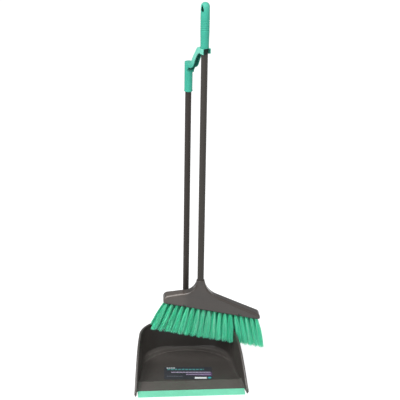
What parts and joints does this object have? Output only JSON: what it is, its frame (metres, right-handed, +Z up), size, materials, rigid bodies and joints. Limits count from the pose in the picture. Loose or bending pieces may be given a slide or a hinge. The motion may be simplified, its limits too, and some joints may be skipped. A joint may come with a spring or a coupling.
{
  "type": "dust pan and brush set",
  "caption": "Long-handled dust pan with a rubber lip, standing on the floor, and an angled brush hung by its handle in the clip on the pan's handle.",
  "frame": {"origin": "on the floor, at the middle of the pan's width, on the plane of its flat underside", "axes": "+Z up along both handles, +Y from the rubber lip towards the handle's socket, +X to the right as seen from the lip"},
  "size_m": [0.3351, 0.246, 0.935],
  "materials": {
    "pan_plastic": "dark grey-brown moulded plastic with a soft sheen",
    "head_plastic": "dark grey-brown moulded plastic with a soft sheen",
    "lip_rubber": "matt mint green soft rubber",
    "tube_paint": "satin dark grey-brown powder coat",
    "mint_plastic": "semi-gloss mint green moulded plastic",
    "bristle_fibre": "mint green synthetic bristles",
    "screw_steel": "zinc plated",
    "ferrule_plastic": "black nylon",
    "label_film": "dark printed film label"
  },
  "bodies": {
    "dustpan": {"pan_shell": "pan_plastic", "rubber_lip": "lip_rubber", "pan_tube": "tube_paint", "socket_screw": "screw_steel", "clip_handle": "mint_plastic", "label_sticker": "label_film"},
    "broom": {"broom_tube": "tube_paint", "broom_grip": "mint_plastic", "threaded_ferrule": "ferrule_plastic", "head_cover": "head_plastic", "bristle_block": "bristle_fibre", "tufts_front_row": "bristle_fibre", "tufts_second_row": "bristle_fibre", "tufts_third_row": "bristle_fibre", "tufts_back_row": "bristle_fibre", "tuft_anchors": "screw_steel"}
  },
  "joints": [
    {"name": "broom_lift", "type": "slide", "parent": "dustpan", "child": "broom", "axis": [0, 0, 1], "range_m": [0, 0.58]}
  ]
}
